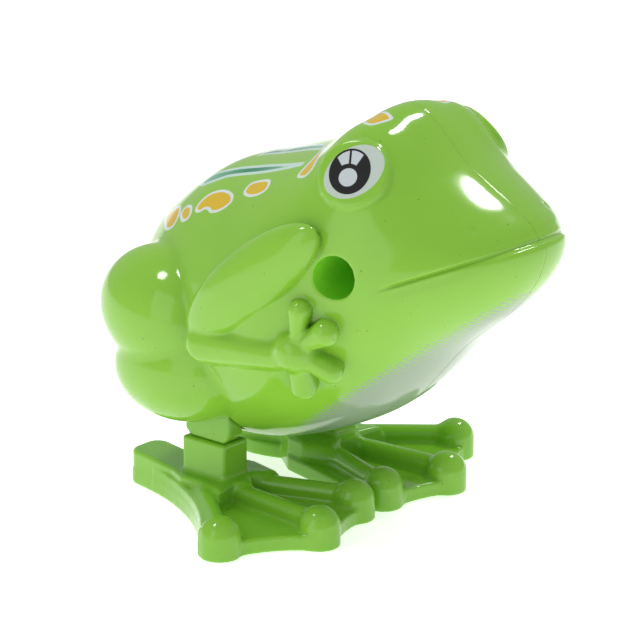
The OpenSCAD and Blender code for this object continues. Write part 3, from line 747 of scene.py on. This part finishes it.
def printed_body():
    f, colour = moulded("body_plastic", GREEN, GREEN_DEEP, 0.07)
    x, y, z = f.axes(mirrored=True)
    white, ink = linear((214, 224, 222)), linear((22, 22, 24))
    # Belly: a white print that breaks into a grid of dots at its edge
    depth = x * 0.75 - z + 14.9
    across, up = (x * 1.75).op("FRACT") - 0.5, (z * 1.75).op("FRACT") - 0.5
    grown = (depth * 0.4).op("MULTIPLY_ADD", 1, 0.05, clamp=True).root() * 0.74
    belly = ((across * across + up * up).root() - grown).within(0.1) * (depth * -1).within(0.05)
    colour = f.mixed(colour, linear((142, 156, 141)), belly * 0.9)
    # Back: teal stripes between white lines, and yellow spots rimmed in white
    stripes = f.mark("stripes")
    fade = (x + 11).size().op("MULTIPLY_ADD", -0.12, 1.15, clamp=True)
    colour = f.mixed(colour, linear((196, 222, 214)), (stripes - 0.34).within(0.06) * 0.92)
    teal = f.mixed(linear((116, 184, 146)), linear((10, 128, 92)), fade)
    colour = f.mixed(colour, teal, (stripes + 0.3).within(0.06))
    spots = f.mark("spots")
    colour = f.mixed(colour, white, spots.within(0.06) * 0.95)
    colour = f.mixed(colour, linear((212, 178, 6)), (spots + 0.46).within(0.06))
    # The side hole's wall: a painted glow, standing in for light coming through the plastic and bouncing
    # inside the hole
    from_arbor = ((x - ARBOR[0]) * (x - ARBOR[0]) + (z - ARBOR[1]) * (z - ARBOR[1])).root()
    from_hole = from_arbor - HOLE / 2 - 0.03
    colour = f.mixed(colour, linear((132, 226, 48)), from_hole.within() * (y + 8).within() * 0.7)
    # Eyes: white ellipse, dark pupil, light disc and two light windows
    u = f.along((0.945, 0.327, 0), EYE, True)
    v = f.along((-0.184, 0.531, 0.828), EYE, True)
    rise = f.along(tuple(EYE_AXIS), EYE, True)

    def ellipse(centre, a, b, tilt=0.0):
        c, s = np.cos(np.radians(tilt)), np.sin(np.radians(tilt))
        du, dv = u - centre[0], v - centre[1]
        p, q = (du * c + dv * s) * (1 / a), (dv * c - du * s) * (1 / b)
        return ((p * p + q * q).root() - 1) * min(a, b)

    face = (rise * -1 - 0.5).within(0.1)
    colour = f.mixed(colour, linear((190, 204, 194)), ellipse((0.2, 0.17), 4.3, 3.3, 42).within() * face)
    pupil, glint, glint_radius = (-0.37, 0.15), (-0.45, -0.67), 1.24
    colour = f.mixed(colour, ink, ellipse(pupil, 2.8, 3.12).within() * face)
    du, dv = u - glint[0], v - glint[1]
    angle = du.op("ARCTAN2", dv)
    window = (angle - np.radians(-6.5)).size() - np.radians(31.5)
    window = window.larger((du * du + dv * dv).root() * -1 + 1.87).larger(ellipse(pupil, 2.52, 2.84))
    split = ((u + 0.57) * 0.992 + (v - 1.17) * 0.125).size() * -1 + 0.15
    light = ellipse(glint, glint_radius, glint_radius).smaller(window.larger(split))
    colour = f.mixed(colour, linear((196, 205, 208)), light.within() * face)
    f.set(Base_Color=colour)
    return f.material


def metal(name, light, deep, roughness, grain):
    """Drawn or stamped metal: fine grain along one way, and slow tarnish."""
    f = Finish(name)
    lines = f.noise(0.35, 3, 0.6, stretch=grain)
    tarnish = f.noise(4, 4).op("MULTIPLY_ADD", 2, -0.5, clamp=True)
    f.set(Base_Color=f.mixed(linear(light), linear(deep), tarnish * 0.6 + lines * 0.2), Metallic=1.0,
          Roughness=lines * 0.12 + tarnish * 0.1 + roughness)
    f.relief((lines, 0.003), (f.noise(1.1, 2), 0.002))
    return f.material


body_material = printed_body()
leg_material = moulded("leg_plastic", (133, 191, 58), (124, 184, 49), 0.1)[0].material
knob_material = moulded("knob_plastic", (236, 234, 224), (222, 219, 206), 0.14)[0].material
motor_material = moulded("motor_plastic", (228, 226, 216), (214, 210, 196), 0.3, dust=False)[0].material
shaft_material = metal("shaft_steel", (196, 196, 194), (150, 150, 150), 0.2, (0.08, 1, 1))
spring_material = metal("spring_steel", (120, 126, 138), (88, 92, 104), 0.28, (1, 0.06, 1))
screw_material = metal("screw_steel", (188, 186, 182), (140, 138, 134), 0.24, (1, 0.2, 1))
wheel_material = metal("wheel_brass", (214, 176, 92), (176, 134, 58), 0.22, (1, 0.1, 1))

half_shell(-1, "shell_right_skin")
half_shell(1, "shell_left_skin")
both_sides(*netted(foot_field, (-31, -0.6, -0.6), (10, 29.4, 11), 0.25),
           ("foot_left_soft", "foot_right_soft"), ("left_leg", "right_leg"), ("foot_left", "foot_right"),
           foot_field, leg_material, "leg_plastic")
both_sides(*netted(leg_field, (-27, 10, 5.5), (-1, 14.2, 37), 0.25),
           ("leg_left_soft", "leg_right_soft"), ("left_leg", "right_leg"), ("leg_left", "leg_right"),
           leg_field, leg_material, "leg_plastic")
verts, quads = netted(knob_field, (-5, 22.6, 26), (9, 28.6, 41), 0.2)
finish(new_object("knob_soft", verts, quads.tolist()), knob_field, False,
       "intermediate", "winding_knob", knob_material, "knob_plastic")

NODE_FINISH = {
    "shell_screws": screw_material, "motor_plate_right": motor_material, "motor_plate_left": motor_material,
    "motor_pillars": motor_material, "winding_arbor": shaft_material, "great_wheel": wheel_material,
    "click_spring": spring_material, "mainspring": spring_material, "second_arbor": shaft_material,
    "intermediate_gear": motor_material, "crank_shaft": shaft_material, "crank_pinion": motor_material,
    "crank_right": motor_material, "crank_left": motor_material, "leg_pivot_pin": shaft_material,
    "pivot_spacers": shaft_material, "pivot_clips": shaft_material, "shell_right": body_material,
    "shell_left": body_material, "leg_right": leg_material, "leg_left": leg_material,
    "foot_right": leg_material, "foot_left": leg_material, "winding_knob": knob_material}
for name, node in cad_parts.items():
    node.data.materials.clear()
    node.data.materials.append(NODE_FINISH[name])


# ---- Floor, lights and camera, in metres ----
FLOOR_HALF, FLOOR_DROP = 3000, 0.05  # mm
floor = new_object("floor", [(x * FLOOR_HALF, y * FLOOR_HALF, -FLOOR_DROP)
                             for x, y in ((-1, -1), (1, -1), (1, 1), (-1, 1))], [(0, 1, 2, 3)])
paper = Finish("paper")
paper.set(Base_Color=paper.mixed(linear((250, 250, 250)), linear((255, 255, 255)), paper.noise(60, 3)),
          Roughness=0.9, Emission_Color=(1, 1, 1, 1), Emission_Strength=0.6)
floor.data.materials.append(paper.material)


LIGHT_DISTANCE, LIT_PLACE = 0.6, (0, 0, 0.035)


def softbox(name, way, along, width, height, watts, shape="ELLIPSE"):
    """A light seen from the object in a direction, facing it, with its width running along another."""
    light = bpy.data.lights.new(name, "AREA")
    light.shape, light.size, light.size_y, light.energy = shape, width, height, watts
    obj = bpy.data.objects.new(name, light)
    way = Vector(way).normalized()
    up = way.cross(Vector(along)).normalized()
    obj.location = Vector(LIT_PLACE) + way * LIGHT_DISTANCE
    obj.rotation_euler = Matrix((up.cross(way), up, way)).transposed().to_euler()
    bpy.context.scene.collection.objects.link(obj)


softbox("top_softbox", (0.03, 0.545, 0.838), (-0.1, 0.83, -0.54), 0.2, 0.07, 1.2)
softbox("side_softbox", (-0.31, -0.32, 0.9), (1, 0, 0), 0.1, 0.16, 0.8)
softbox("front_panel", (-0.05, -0.93, 0.37), (1, 0, 0), 0.3, 0.5, 0.45, "RECTANGLE")
world = bpy.data.worlds.new("studio")
world.use_nodes = True
world.node_tree.nodes["Background"].inputs["Color"].default_value = (1, 1, 1, 1)
world.node_tree.nodes["Background"].inputs["Strength"].default_value = 0.5
bpy.context.scene.world = world
bpy.context.scene.view_settings.view_transform = "Standard"

camera = bpy.data.cameras.new("camera")
camera.lens, camera.sensor_width = 188.8, 36
eye = bpy.data.objects.new("camera", camera)
eye.location = (0.2764, -0.3328, 0.1675)
eye.rotation_euler = Vector((-0.6147, 0.7258, -0.3090)).to_track_quat("-Z", "Y").to_euler()
bpy.context.scene.collection.objects.link(eye)
bpy.context.scene.camera = eye
